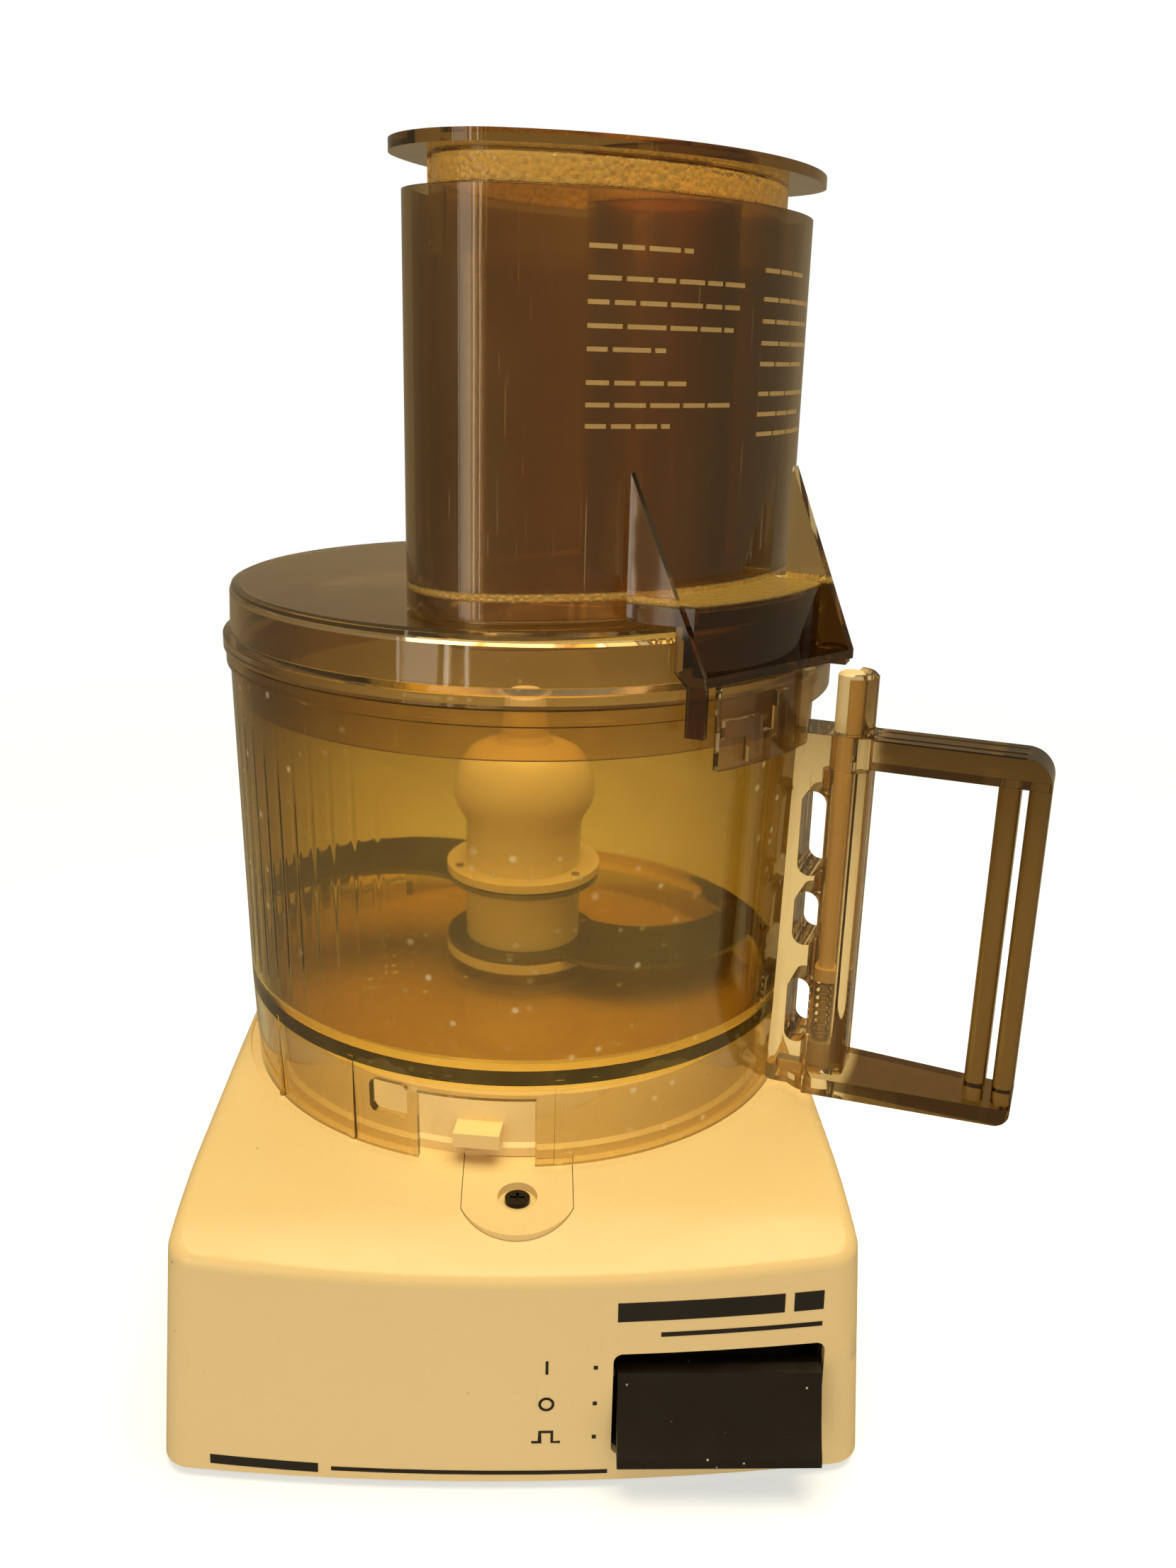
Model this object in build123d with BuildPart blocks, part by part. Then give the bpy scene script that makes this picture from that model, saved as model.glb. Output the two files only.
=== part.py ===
# Food processor: base with direct-drive motor, work bowl with rod handle,
# cover with oval feed tube, sleeve, food pushers and riveted chopping blade.
# Axes: +Z up, +Y to the back, origin on the drive axis at the table.
import math
import os

from build123d import *

os.makedirs("parts", exist_ok=True)

# ---------------------------------------------------------------- dimensions
foot_h = 3.0
base_hw, base_top_hw = 95.0, 90.1        # half widths at the foot and at the deck
base_front, base_back = -124.0, 136.0    # bowed faces, furthest points
front_bow = 6.5
base_lean = 3.0                          # front and back faces lean in by this much
deck_z = 76.0
seat_z = 74.3                            # flat the bowl skirt stands on
wall = 2.8

bowl_rim_z, bowl_floor_z = 206.0, 102.5
bowl_r_top, bowl_r_floor, bowl_r_foot = 88.5, 86.8, 85.6
bowl_wall = 2.6
column_r, column_bore = 15.0, 12.75
column_top = 150.0

oval_c, oval_turn = (24.0, -27.5), 40.0  # centre and turn of the feed tube oval
oval_a, oval_b = 65.0, 38.0              # half length and half width of the sleeve
sleeve_z0, sleeve_z1 = 226.2, 327.4
chute_top = 312.5
cover_z = 225.0
flange_z = 338.5

handle_turn = -23.0
rod_r0 = 100.9                           # rod axis distance from the drive axis
rod_r = 3.9
handle_z0, handle_z1 = 77.5, 189.0
handle_out = 158.5
rod_travel = 3.5

shaft_r = 5.0
spindle_r = 4.7
small_c, small_or, small_ir = (35.5, -17.9), 20.5, 18.7


def oval(grow):
    """Four-arc oval, offset from the sleeve's outer line by grow."""
    a, b = oval_a + grow, oval_b + grow
    re = 24.0 + grow
    cx = oval_a - 24.0
    rs = ((oval_b**2 + cx**2 - 24.0**2) / (2 * (oval_b - 24.0))) + grow
    cy = rs - b                          # side arc centres sit at (0, -cy) and (0, cy)
    t = math.atan2(cy, cx)               # direction from a side centre to an end centre
    px, py = cx + re * math.cos(t), re * math.sin(t)
    with BuildSketch() as s:
        with BuildLine():
            ThreePointArc((px, -py), (a, 0), (px, py))
            ThreePointArc((px, py), (0, b), (-px, py))
            ThreePointArc((-px, py), (-a, 0), (-px, -py))
            ThreePointArc((-px, -py), (0, -b), (px, -py))
        make_face()
    return s.sketch.rotate(Axis.Z, oval_turn).moved(Location((oval_c[0], oval_c[1], 0)))


def base_outline(hw, front, back, corner):
    """Rectangle with bowed front and back and rounded corners."""
    with BuildSketch() as s:
        with BuildLine():
            ThreePointArc((-hw, front + front_bow), (0, front), (hw, front + front_bow))
            Line((hw, front + front_bow), (hw, back - front_bow))
            ThreePointArc((hw, back - front_bow), (0, back), (-hw, back - front_bow))
            Line((-hw, back - front_bow), (-hw, front + front_bow))
        make_face()
        fillet(s.vertices(), radius=corner)
    return s.sketch


def polar(r, deg):
    return (r * math.cos(math.radians(deg)), r * math.sin(math.radians(deg)))


# ------------------------------------------------------------------- housing
with BuildPart() as cavity:
    with BuildSketch(Plane.XY.offset(foot_h - 0.5)):
        add(base_outline(base_hw - wall, base_front + wall, base_back - wall, 6.5))
    with BuildSketch(Plane.XY.offset(80)):
        add(base_outline(base_top_hw - wall, base_front + wall + base_lean,
                         base_back - wall - base_lean, 6.5))
    loft()
    with BuildSketch(Plane.YZ.offset(-120)):
        with BuildLine():
            Spline((-140, 57), (-124, 60), (-110, 66), (-97, 69.6), (-86, 71.3))
            Polyline((-86, 71.3), (-80, 71.5), (100, 71.5), (145, 68), (145, 120), (-140, 120), (-140, 57))
        make_face()
    extrude(amount=240, mode=Mode.SUBTRACT)

with BuildPart() as base_housing:
    with BuildSketch(Plane.XY.offset(foot_h)):
        add(base_outline(base_hw, base_front, base_back, 9))
    with BuildSketch(Plane.XY.offset(80)):
        add(base_outline(base_top_hw, base_front + base_lean, base_back - base_lean, 9))
    loft()
    with BuildSketch(Plane.YZ.offset(-120)):
        with BuildLine():
            Spline((-140, 58), (-124, 63.4), (-117, 66.4), (-110, 69.1), (-104, 71.0), (-95, 73.0),
                   (-86, 74.3), (-60, 75.4), (-25, 76.0), (0, 76.0), (60, 75.5), (100, 74.0), (145, 70.5))
            Polyline((145, 70.5), (145, 120), (-140, 120), (-140, 58))
        make_face()
    extrude(amount=240, mode=Mode.SUBTRACT)
    deck_face = base_housing.faces().filter_by(lambda f: f.center().Z > 66 and abs(f.normal_at().Z) > 0.6).sort_by(SortBy.AREA)[-1]
    fillet(deck_face.outer_wire().edges(), radius=4.0)
    add(cavity.part, mode=Mode.SUBTRACT)
    # flat the bowl stands on
    with BuildSketch(Plane.XY.offset(seat_z)):
        Circle(88.6)
    extrude(amount=10, mode=Mode.SUBTRACT)
    # opening over the motor
    with BuildSketch(Plane.XY.offset(68)):
        Circle(46)
    extrude(amount=12, mode=Mode.SUBTRACT)
    # screw bosses for the bottom plate
    with BuildSketch(Plane.XY.offset(6.5)):
        with Locations((-84, -84), (84, -84), (-84, 116), (84, 116)):
            Circle(5.2)
    extrude(amount=58)
    with BuildSketch(Plane.XY.offset(6.5)):
        with Locations((-84, -84), (84, -84), (-84, 116), (84, 116)):
            Circle(1.9)
    extrude(amount=14, mode=Mode.SUBTRACT)
    # bosses under the deck for the seat screws
    with BuildSketch(Plane.XY.offset(58)):
        with Locations((0, -97), polar(66, 35), polar(66, 145)):
            Circle(4.6)
    extrude(until=Until.NEXT)
    with BuildSketch(Plane.XY.offset(56)):
        with Locations((0, -97), polar(66, 35), polar(66, 145)):
            Circle(1.75)
    extrude(amount=24, mode=Mode.SUBTRACT)
    # guide boss and hole for the interlock plunger
    with BuildSketch(Plane.XY.offset(66)):
        with Locations(polar(91, handle_turn)):
            Circle(4.4)
    extrude(until=Until.NEXT)
    with BuildSketch(Plane.XY.offset(64)):
        with Locations(polar(91, handle_turn)):
            Circle(2.58)
    extrude(amount=16, mode=Mode.SUBTRACT)
    # control window in the front wall
    with BuildSketch(Plane.XZ.offset(108)):
        with Locations((54, 26.5)):
            RectangleRounded(56.5, 31, 2.5)
    extrude(amount=20, mode=Mode.SUBTRACT)
    # cord outlet in the back wall
    with BuildSketch(Plane.XZ.offset(-124)):
        with Locations((-58, 24)):
            Circle(7)
    extrude(amount=-16, mode=Mode.SUBTRACT)

# tongue channel is cut with the tongue's own plan, so it is a D in plan
with BuildPart() as tongue_room:
    with BuildSketch(Plane.XY.offset(60)):
        with BuildLine():
            Polyline((-15.2, -74), (15.2, -74), (15.2, -101))
            ThreePointArc((15.2, -101), (0, -111.2), (-15.2, -101))
            Line((-15.2, -101), (-15.2, -74))
        make_face()
    extrude(amount=30)
    with BuildSketch(Plane.YZ):
        with BuildLine():
            Polyline((-70, 71.2), (-86, 71.2), (-115, 67.0), (-115, 50), (-70, 50), (-70, 71.2))
        make_face()
    extrude(amount=30, both=True, mode=Mode.SUBTRACT)

with BuildPart() as base_housing2:
    add(base_housing.part)
    add(tongue_room.part, mode=Mode.SUBTRACT)

with BuildPart() as bottom_plate:
    with BuildSketch(Plane.XY.offset(foot_h)):
        add(base_outline(base_hw - wall - 0.55, base_front + wall + 0.45, base_back - wall - 0.45, 6.0))
    extrude(amount=3.4)
    # air slots under the fan
    with BuildSketch(Plane.XY.offset(foot_h)):
        with PolarLocations(22, 10):
            SlotOverall(16, 4)
    extrude(amount=4, mode=Mode.SUBTRACT)
    # posts that carry the motor
    with BuildSketch(Plane.XY.offset(foot_h + 3.4)):
        with Locations((-50, -30), (50, -30), (-50, 30), (50, 30)):
            Circle(5.5)
    extrude(amount=10.6)
    with BuildSketch(Plane.XY.offset(foot_h + 3.4)):
        with Locations((-50, -30), (50, -30), (-50, 30), (50, 30)):
            Circle(1.75)
    extrude(amount=12, mode=Mode.SUBTRACT)
    # screw holes, counterbored from below
    with BuildSketch(Plane.XY.offset(foot_h)):
        with Locations((-84, -84), (84, -84), (-84, 116), (84, 116)):
            Circle(2.1)
    extrude(amount=5, mode=Mode.SUBTRACT)
    with BuildSketch(Plane.XY.offset(foot_h)):
        with Locations((-84, -84), (84, -84), (-84, 116), (84, 116)):
            Circle(3.8)
    extrude(amount=1.6, mode=Mode.SUBTRACT)
    # sockets for the feet
    with BuildSketch(Plane.XY.offset(foot_h)):
        with Locations((-70, -98), (70, -98), (-70, 112), (70, 112)):
            Circle(3.0)
    extrude(amount=5, mode=Mode.SUBTRACT)

with BuildPart() as rubber_feet:
    with BuildSketch():
        with Locations((-70, -98), (70, -98), (-70, 112), (70, 112)):
            Circle(8)
    extrude(amount=foot_h)
    chamfer(rubber_feet.edges().filter_by(GeomType.CIRCLE).group_by(Axis.Z)[0], length=0.8)
    with BuildSketch(Plane.XY.offset(foot_h)):
        with Locations((-70, -98), (70, -98), (-70, 112), (70, 112)):
            Circle(3.0)
    extrude(amount=3.4)

with BuildPart() as bottom_screws:
    with BuildSketch(Plane.XY.offset(3.1)):
        with Locations((-84, -84), (84, -84), (-84, 116), (84, 116)):
            Circle(3.5)
    extrude(amount=1.5)
    with BuildSketch(Plane.XY.offset(4.6)):
        with Locations((-84, -84), (84, -84), (-84, 116), (84, 116)):
            Circle(1.88)
    extrude(amount=14)
    with BuildSketch(Plane.XY.offset(3.1)):
        with Locations((-84, -84), (84, -84), (-84, 116), (84, 116)):
            Rectangle(4.4, 0.9)
            Rectangle(0.9, 4.4)
    extrude(amount=0.8, mode=Mode.SUBTRACT)

# ------------------------------------------------- seat, sheath and drive axis
with BuildPart() as bowl_seat:
    with BuildSketch(Plane.XZ):
        with BuildLine():
            Polyline((46, 74.3), (80, 74.3), (80, 77), (78.6, 78), (76, 92), (74, 94.2), (13.2, 94.2),
                     (13.2, 91.6), (72.6, 91.6), (74.6, 89.5), (76, 78.5), (75, 76.9), (46, 76.9), (46, 74.3))
        make_face()
    revolve(axis=Axis.Z)
    # bayonet lugs that stand in the skirt's notches
    with BuildSketch(Plane.XY.offset(79.5)):
        with PolarLocations(79.6, 3, start_angle=-98):
            Rectangle(11.0, 13)
    extrude(amount=4.2)
    # tongue under the skirt, with its counterbored screw
    with BuildSketch(Plane.XY.offset(60)):
        with BuildLine():
            Polyline((-15, -75), (15, -75), (15, -101))
            ThreePointArc((15, -101), (0, -111), (-15, -101))
            Line((-15, -101), (-15, -75))
        make_face()
    extrude(amount=14.1)
    with BuildSketch(Plane.YZ):
        with BuildLine():
            Polyline((-70, 71.3), (-86, 71.3), (-115, 67.1), (-115, 40), (-70, 40), (-70, 71.3))
        make_face()
    extrude(amount=18, both=True, mode=Mode.SUBTRACT)
    with BuildSketch(Plane.YZ):
        with BuildLine():
            Polyline((-88, 74.1), (-115, 69.9), (-115, 76), (-88, 76), (-88, 74.1))
        make_face()
    extrude(amount=18, both=True, mode=Mode.SUBTRACT)
    with BuildSketch(Plane.XY.offset(71.3)):
        with Locations((0, -77)):
            Rectangle(30, 4.6)
    extrude(amount=4.5)
    with BuildSketch(Plane.XY.offset(60)):
        with Locations((0, -97)):
            Circle(2.1)
    extrude(amount=20, mode=Mode.SUBTRACT)
    with BuildSketch(Plane.XY.offset(71.2)):
        with Locations((0, -97)):
            Circle(5.4)
    extrude(amount=8, mode=Mode.SUBTRACT)
    with BuildSketch(Plane.XY.offset(70)):
        with Locations(polar(66, 35), polar(66, 145)):
            Circle(2.1)
    extrude(amount=12, mode=Mode.SUBTRACT)

with BuildPart() as seat_screws:
    with BuildSketch(Plane.XY.offset(71.25)):
        with Locations((0, -97)):
            Circle(3.4)
    extrude(amount=1.3)
    with BuildSketch(Plane.XY.offset(60)):
        with Locations((0, -97)):
            Circle(1.7)
    extrude(amount=11.3)
    with BuildSketch(Plane.XY.offset(76.95)):
        with Locations(polar(66, 35), polar(66, 145)):
            Circle(3.4)
    extrude(amount=1.6)
    with BuildSketch(Plane.XY.offset(60)):
        with Locations(polar(66, 35), polar(66, 145)):
            Circle(1.7)
    extrude(amount=17)
    with BuildSketch(Plane.XY.offset(71.85)):
        with Locations((0, -97)):
            Rectangle(4.0, 0.8)
            Rectangle(0.8, 4.0)
    extrude(amount=2, mode=Mode.SUBTRACT)

with BuildPart() as shaft_sheath:
    with BuildSketch(Plane.XZ):
        with BuildLine():
            Polyline((6.2, 86), (19, 86), (19, 88.4), (13.0, 91), (13.0, 95.5), (12.2, 97), (11.6, 146),
                     (10.4, 148), (6.2, 148), (6.2, 86))
        make_face()
    revolve(axis=Axis.Z)
    with BuildSketch(Plane.XY.offset(84)):
        with PolarLocations(16.4, 3):
            Circle(1.2)
    extrude(amount=6, mode=Mode.SUBTRACT)

with BuildPart() as motor_shaft:
    with BuildSketch(Plane.XY.offset(9)):
        Circle(shaft_r)
    extrude(amount=85)
    with BuildSketch(Plane.XY.offset(94)):
        Circle(spindle_r)
    extrude(amount=78)
    with BuildSketch(Plane.XY.offset(153)):
        with Locations((spindle_r + 3.4, 0)):
            Rectangle(9.4, 12)
    extrude(amount=20, mode=Mode.SUBTRACT)
    chamfer(motor_shaft.edges().group_by(Axis.Z)[-1], length=0.5)

with BuildPart() as rotor_core:
    with BuildSketch(Plane.XY.offset(30)):
        Circle(23.8)
        Circle(shaft_r, mode=Mode.SUBTRACT)
    extrude(amount=28)

with BuildPart() as cooling_fan:
    with BuildSketch(Plane.XY.offset(9)):
        Circle(9)
        Circle(shaft_r, mode=Mode.SUBTRACT)
    extrude(amount=7.5)
    with BuildSketch(Plane.XY.offset(14.9)):
        Circle(34)
        Circle(8.9, mode=Mode.SUBTRACT)
    extrude(amount=1.6)
    with BuildSketch(Plane.XY.offset(9)):
        with PolarLocations(21, 9):
            Rectangle(25, 1.6)
    extrude(amount=6)

# --------------------------------------------------------------------- motor
with BuildPart() as motor_stator:
    with BuildSketch(Plane.XY.offset(32)):
        RectangleRounded(84, 84, 9)
        Circle(24.3, mode=Mode.SUBTRACT)
        with Locations((-35.5, -35.5), (35.5, -35.5), (-35.5, 35.5), (35.5, 35.5)):
            Circle(2.6, mode=Mode.SUBTRACT)
        with PolarLocations(30.5, 12):
            SlotOverall(10, 4.4, mode=Mode.SUBTRACT)
    extrude(amount=24)

with BuildPart() as stator_windings:
    for z0 in (25.2, 56.0):
        with BuildSketch(Plane.XY.offset(z0)):
            Circle(36.5)
            Circle(25.4, mode=Mode.SUBTRACT)
        extrude(amount=6.8)
    fillet(stator_windings.edges().filter_by(GeomType.CIRCLE).group_by(Axis.Z)[0]
           + stator_windings.edges().filter_by(GeomType.CIRCLE).group_by(Axis.Z)[-1], radius=2.2)
    with BuildSketch(Plane.XY.offset(32.0)):
        with PolarLocations(30.5, 12):
            SlotOverall(9.6, 4.0)
    extrude(amount=24.0)

with BuildPart() as lower_end_bell:
    with BuildSketch(Plane.XY.offset(20)):
        RectangleRounded(84, 84, 9)
        RectangleRounded(116, 74, 8)
    extrude(amount=3)
    with BuildSketch(Plane.XY.offset(23)):
        RectangleRounded(84, 84, 9)
        RectangleRounded(78, 78, 7, mode=Mode.SUBTRACT)
    extrude(amount=9)
    with BuildSketch(Plane.XY.offset(18.6)):
        Circle(16.5)
    extrude(amount=9)
    with BuildSketch(Plane.XY.offset(18)):
        Circle(13.0)
    extrude(amount=12, mode=Mode.SUBTRACT)
    with BuildSketch(Plane.XY.offset(19)):
        with Locations((-35.5, -35.5), (35.5, -35.5), (-35.5, 35.5), (35.5, 35.5)):
            Circle(2.6)
        with Locations((-50, -30), (50, -30), (-50, 30), (50, 30)):
            Circle(2.2)
        with PolarLocations(24, 6):
            SlotOverall(9, 5)
    extrude(amount=5, mode=Mode.SUBTRACT)
    with BuildSketch(Plane.XY.offset(23)):
        with Locations((-35.5, -35.5), (35.5, -35.5), (-35.5, 35.5), (35.5, 35.5)):
            Circle(4.6)
    extrude(amount=9)
    with BuildSketch(Plane.XY.offset(19)):
        with Locations((-35.5, -35.5), (35.5, -35.5), (-35.5, 35.5), (35.5, 35.5)):
            Circle(2.6)
    extrude(amount=14, mode=Mode.SUBTRACT)

with BuildPart() as upper_end_bell:
    with BuildSketch(Plane.XY.offset(64.6)):
        RectangleRounded(84, 84, 9)
    extrude(amount=3)
    with BuildSketch(Plane.XY.offset(56)):
        RectangleRounded(84, 84, 9)
        RectangleRounded(78, 78, 7, mode=Mode.SUBTRACT)
    extrude(amount=8.6)
    with BuildSketch(Plane.XY.offset(61)):
        Circle(16.5)
    extrude(amount=10.2)
    with BuildSketch(Plane.XY.offset(60)):
        Circle(13.0)
    extrude(amount=12, mode=Mode.SUBTRACT)
    with BuildSketch(Plane.XY.offset(60)):
        with PolarLocations(26, 6):
            SlotOverall(9, 5)
        with Locations((-35.5, -35.5), (35.5, -35.5), (-35.5, 35.5), (35.5, 35.5)):
            Circle(2.6)
    extrude(amount=12, mode=Mode.SUBTRACT)
    with BuildSketch(Plane.XY.offset(56)):
        with Locations((-35.5, -35.5), (35.5, -35.5), (-35.5, 35.5), (35.5, 35.5)):
            Circle(4.6)
    extrude(amount=8.6)
    with BuildSketch(Plane.XY.offset(55)):
        with Locations((-35.5, -35.5), (35.5, -35.5), (-35.5, 35.5), (35.5, 35.5)):
            Circle(2.6)
    extrude(amount=14, mode=Mode.SUBTRACT)

with BuildPart() as lower_bearing:
    with BuildSketch(Plane.XY.offset(19)):
        Circle(13.0)
        Circle(shaft_r + 0.04, mode=Mode.SUBTRACT)
    extrude(amount=8)
    with BuildSketch(Plane.XY.offset(19)):
        Circle(11)
        Circle(7.6, mode=Mode.SUBTRACT)
    extrude(amount=0.5, mode=Mode.SUBTRACT)
    with BuildSketch(Plane.XY.offset(26.5)):
        Circle(11)
        Circle(7.6, mode=Mode.SUBTRACT)
    extrude(amount=0.5, mode=Mode.SUBTRACT)

with BuildPart() as upper_bearing:
    with BuildSketch(Plane.XY.offset(62.5)):
        Circle(13.0)
        Circle(shaft_r + 0.04, mode=Mode.SUBTRACT)
    extrude(amount=8)
    with BuildSketch(Plane.XY.offset(62.5)):
        Circle(11)
        Circle(7.6, mode=Mode.SUBTRACT)
    extrude(amount=0.5, mode=Mode.SUBTRACT)
    with BuildSketch(Plane.XY.offset(70)):
        Circle(11)
        Circle(7.6, mode=Mode.SUBTRACT)
    extrude(amount=0.5, mode=Mode.SUBTRACT)

with BuildPart() as motor_bolts:
    with BuildSketch(Plane.XY.offset(20)):
        with Locations((-35.5, -35.5), (35.5, -35.5), (-35.5, 35.5), (35.5, 35.5)):
            Circle(2.4)
    extrude(amount=48)
    with BuildSketch(Plane.XY.offset(67.6)):
        with Locations((-35.5, -35.5), (35.5, -35.5), (-35.5, 35.5), (35.5, 35.5)):
            RegularPolygon(4.4, 6)
    extrude(amount=2.8)
    with BuildSketch(Plane.XY.offset(17.2)):
        with Locations((-35.5, -35.5), (35.5, -35.5), (-35.5, 35.5), (35.5, 35.5)):
            RegularPolygon(4.4, 6)
    extrude(amount=2.8)

with BuildPart() as motor_grommets:
    with BuildSketch(Plane.XY.offset(17)):
        with Locations((-50, -30), (50, -30), (-50, 30), (50, 30)):
            Circle(6.5)
            Circle(2.0, mode=Mode.SUBTRACT)
    extrude(amount=3)

with BuildPart() as motor_screws:
    with BuildSketch(Plane.XY.offset(9)):
        with Locations((-50, -30), (50, -30), (-50, 30), (50, 30)):
            Circle(1.7)
    extrude(amount=14)
    with BuildSketch(Plane.XY.offset(23)):
        with Locations((-50, -30), (50, -30), (-50, 30), (50, 30)):
            Circle(3.6)
    extrude(amount=2)

with BuildPart() as run_capacitor:
    with BuildSketch(Plane.YZ.offset(-28)):
        with Locations((92, 27)):
            Circle(17)
    extrude(amount=62)
    fillet(run_capacitor.edges().group_by(Axis.X)[0], radius=2)
    with BuildSketch(Plane.YZ.offset(34)):
        with Locations((86, 27), (98, 27)):
            Rectangle(1, 6)
    extrude(amount=8)

with BuildPart() as capacitor_clamp:
    with BuildSketch(Plane.YZ.offset(-8)):
        with Locations((92, 27)):
            Circle(18.6)
            Circle(17.05, mode=Mode.SUBTRACT)
        with Locations((92, 9.4)):
            Rectangle(54, 6.0)
        with Locations((92, 27)):
            Circle(17.05, mode=Mode.SUBTRACT)
    extrude(amount=18)

with BuildPart() as cord_gland:
    with BuildSketch(Plane.XZ.offset(-142)):
        with Locations((-58, 24)):
            Circle(9.5)
    extrude(amount=4.6)
    with BuildSketch(Plane.XZ.offset(-137.4)):
        with Locations((-58, 24)):
            Circle(6.8)
    extrude(amount=11)
    with BuildSketch(Plane.XZ.offset(-142)):
        with Locations((-58, 24)):
            Circle(3.8)
    extrude(amount=20, mode=Mode.SUBTRACT)

# ------------------------------------------------------ control paddle, switch
with BuildPart() as switch_frame:
    with BuildSketch(Plane.XZ.offset(95)):
        with Locations((54, 26.5)):
            Rectangle(59, 36)
    extrude(amount=18)
    with BuildSketch(Plane.XZ.offset(97)):
        with Locations((54, 26.5)):
            Rectangle(55.4, 32.4)
    extrude(amount=18, mode=Mode.SUBTRACT)
    with BuildSketch(Plane.YZ.offset(20)):
        with Locations((-109.5, 26.5)):
            Circle(2.05)
    extrude(amount=68, mode=Mode.SUBTRACT)

with BuildPart() as paddle_pin:
    with BuildSketch(Plane.YZ.offset(24.3)):
        with Locations((-109.5, 26.5)):
            Circle(2.0)
    extrude(amount=59.4)

with BuildPart() as control_paddle:
    with BuildSketch(Plane.YZ.offset(27)):
        with BuildLine():
            Polyline((-104.5, 29.5), (-113, 35.0), (-118.2, 36.2), (-121.6, 35.8))
            Spline((-121.6, 35.8), (-124.2, 28), (-126.6, 21.5), (-130.0, 15.2))
            Polyline((-130.0, 15.2), (-130.4, 12.6), (-128.6, 11.9), (-124.0, 15.0), (-113.0, 17.8),
                     (-104.5, 23.5), (-104.5, 29.5))
        make_face()
        with Locations((-109.5, 26.5)):
            Circle(2.06, mode=Mode.SUBTRACT)
    extrude(amount=54)
    fillet(control_paddle.edges().filter_by(Axis.X).filter_by(lambda e: e.center().Y < -127), radius=0.8)
    # hollow behind the face, leaving two bearing cheeks
    with BuildSketch(Plane.XY.offset(10)):
        with Locations((54, -108)):
            Rectangle(46, 12)
    extrude(amount=30, mode=Mode.SUBTRACT)

with BuildPart() as control_switch:
    with BuildSketch(Plane.XY.offset(14)):
        with Locations((54, -84)):
            Rectangle(44, 21.9)
    extrude(amount=26)
    with BuildSketch(Plane.XZ.offset(62)):
        with Locations((38, 22), (46, 22), (54, 22), (62, 22), (70, 22)):
            Rectangle(0.9, 6)
    extrude(amount=12)

with BuildPart() as interlock_bracket:
    with BuildSketch(Plane.XY.offset(6.4)):
        with Locations((76, -36)):
            Rectangle(20, 22)
    extrude(amount=2.2)
    with BuildSketch(Plane.XY.offset(8.6)):
        with Locations((72.5, -36)):
            Rectangle(3, 22)
    extrude(amount=49)

with BuildPart() as interlock_switch:
    with BuildSketch(Plane.XY.offset(42)):
        with Locations((79.5, -36)):
            Rectangle(11, 20)
    extrude(amount=14)
    with BuildSketch(Plane.XY.offset(56)):
        with Locations(polar(91, handle_turn)):
            Circle(1.3)
    extrude(amount=2)
    with BuildSketch(Plane.XY.offset(36)):
        with Locations((79.5, -42), (79.5, -36), (79.5, -30)):
            Rectangle(4, 0.8)
    extrude(amount=6)

with BuildPart() as interlock_plunger:
    with BuildSketch(Plane.XY.offset(62)):
        with Locations(polar(91, handle_turn)):
            Circle(2.5)
    extrude(amount=14.8)
    with BuildSketch(Plane.XY.offset(62)):
        with Locations(polar(91, handle_turn)):
            Circle(3.6)
    extrude(amount=1.4)

# ---------------------------------------------------------------------- bowl
r_in_top, r_in_floor = bowl_r_top - bowl_wall, bowl_r_floor - bowl_wall
with BuildPart() as work_bowl:
    with BuildSketch(Plane.XZ):
        with BuildLine():
            Polyline((bowl_r_foot, seat_z + 0.1), (bowl_r_floor, bowl_floor_z), (bowl_r_top, bowl_rim_z - 4.5),
                     (bowl_r_top + 1.1, bowl_rim_z - 3.8), (bowl_r_top + 1.1, bowl_rim_z),
                     (r_in_top, bowl_rim_z), (r_in_floor + 0.1, bowl_floor_z + 5))
            Line((r_in_floor + 0.1, bowl_floor_z + 5), (r_in_floor - 5.0, bowl_floor_z))
            Polyline((r_in_floor - 5.0, bowl_floor_z), (column_r + 1.5, bowl_floor_z), (column_r, bowl_floor_z + 1.5),
                     (column_r - 0.9, column_top), (column_bore, column_top), (column_bore, 98.8),
                     (column_bore, bowl_floor_z - 3), (bowl_r_floor - bowl_wall - 0.2, bowl_floor_z - 3),
                     (bowl_r_foot - bowl_wall, seat_z + 0.1), (bowl_r_foot, seat_z + 0.1))
        make_face()
    revolve(axis=Axis.Z)
    # bayonet notches, open at the foot, and the lock windows beside them
    with BuildSketch(Plane.XY.offset(70)):
        with PolarLocations(84, 3, start_angle=-98):
            Rectangle(16, 33)
    extrude(amount=25.5, mode=Mode.SUBTRACT)
    # ribs that stiffen the skirt
    with BuildSketch(Plane.XY.offset(75.5)):
        with PolarLocations(85.9, 3, start_angle=-82.6):
            Rectangle(2.4, 2.4)
        with PolarLocations(85.9, 3, start_angle=-123.0):
            Rectangle(2.4, 1.8)
        with Locations(Location((*polar(85.9, -145.5), 0), (0, 0, -145.5))):
            Rectangle(2.2, 1.4)
    extrude(amount=26.5)

with BuildPart() as lock_windows:
    with BuildSketch(Plane.YZ.offset(78)):
        with Locations((0, 91.5)):
            RectangleRounded(12, 10.5, 2.2)
    extrude(amount=14)

with BuildPart() as work_bowl2:
    add(work_bowl.part)
    for k in range(3):
        add(lock_windows.part.rotate(Axis.Z, -115.0 + 120 * k), mode=Mode.SUBTRACT)

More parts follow.
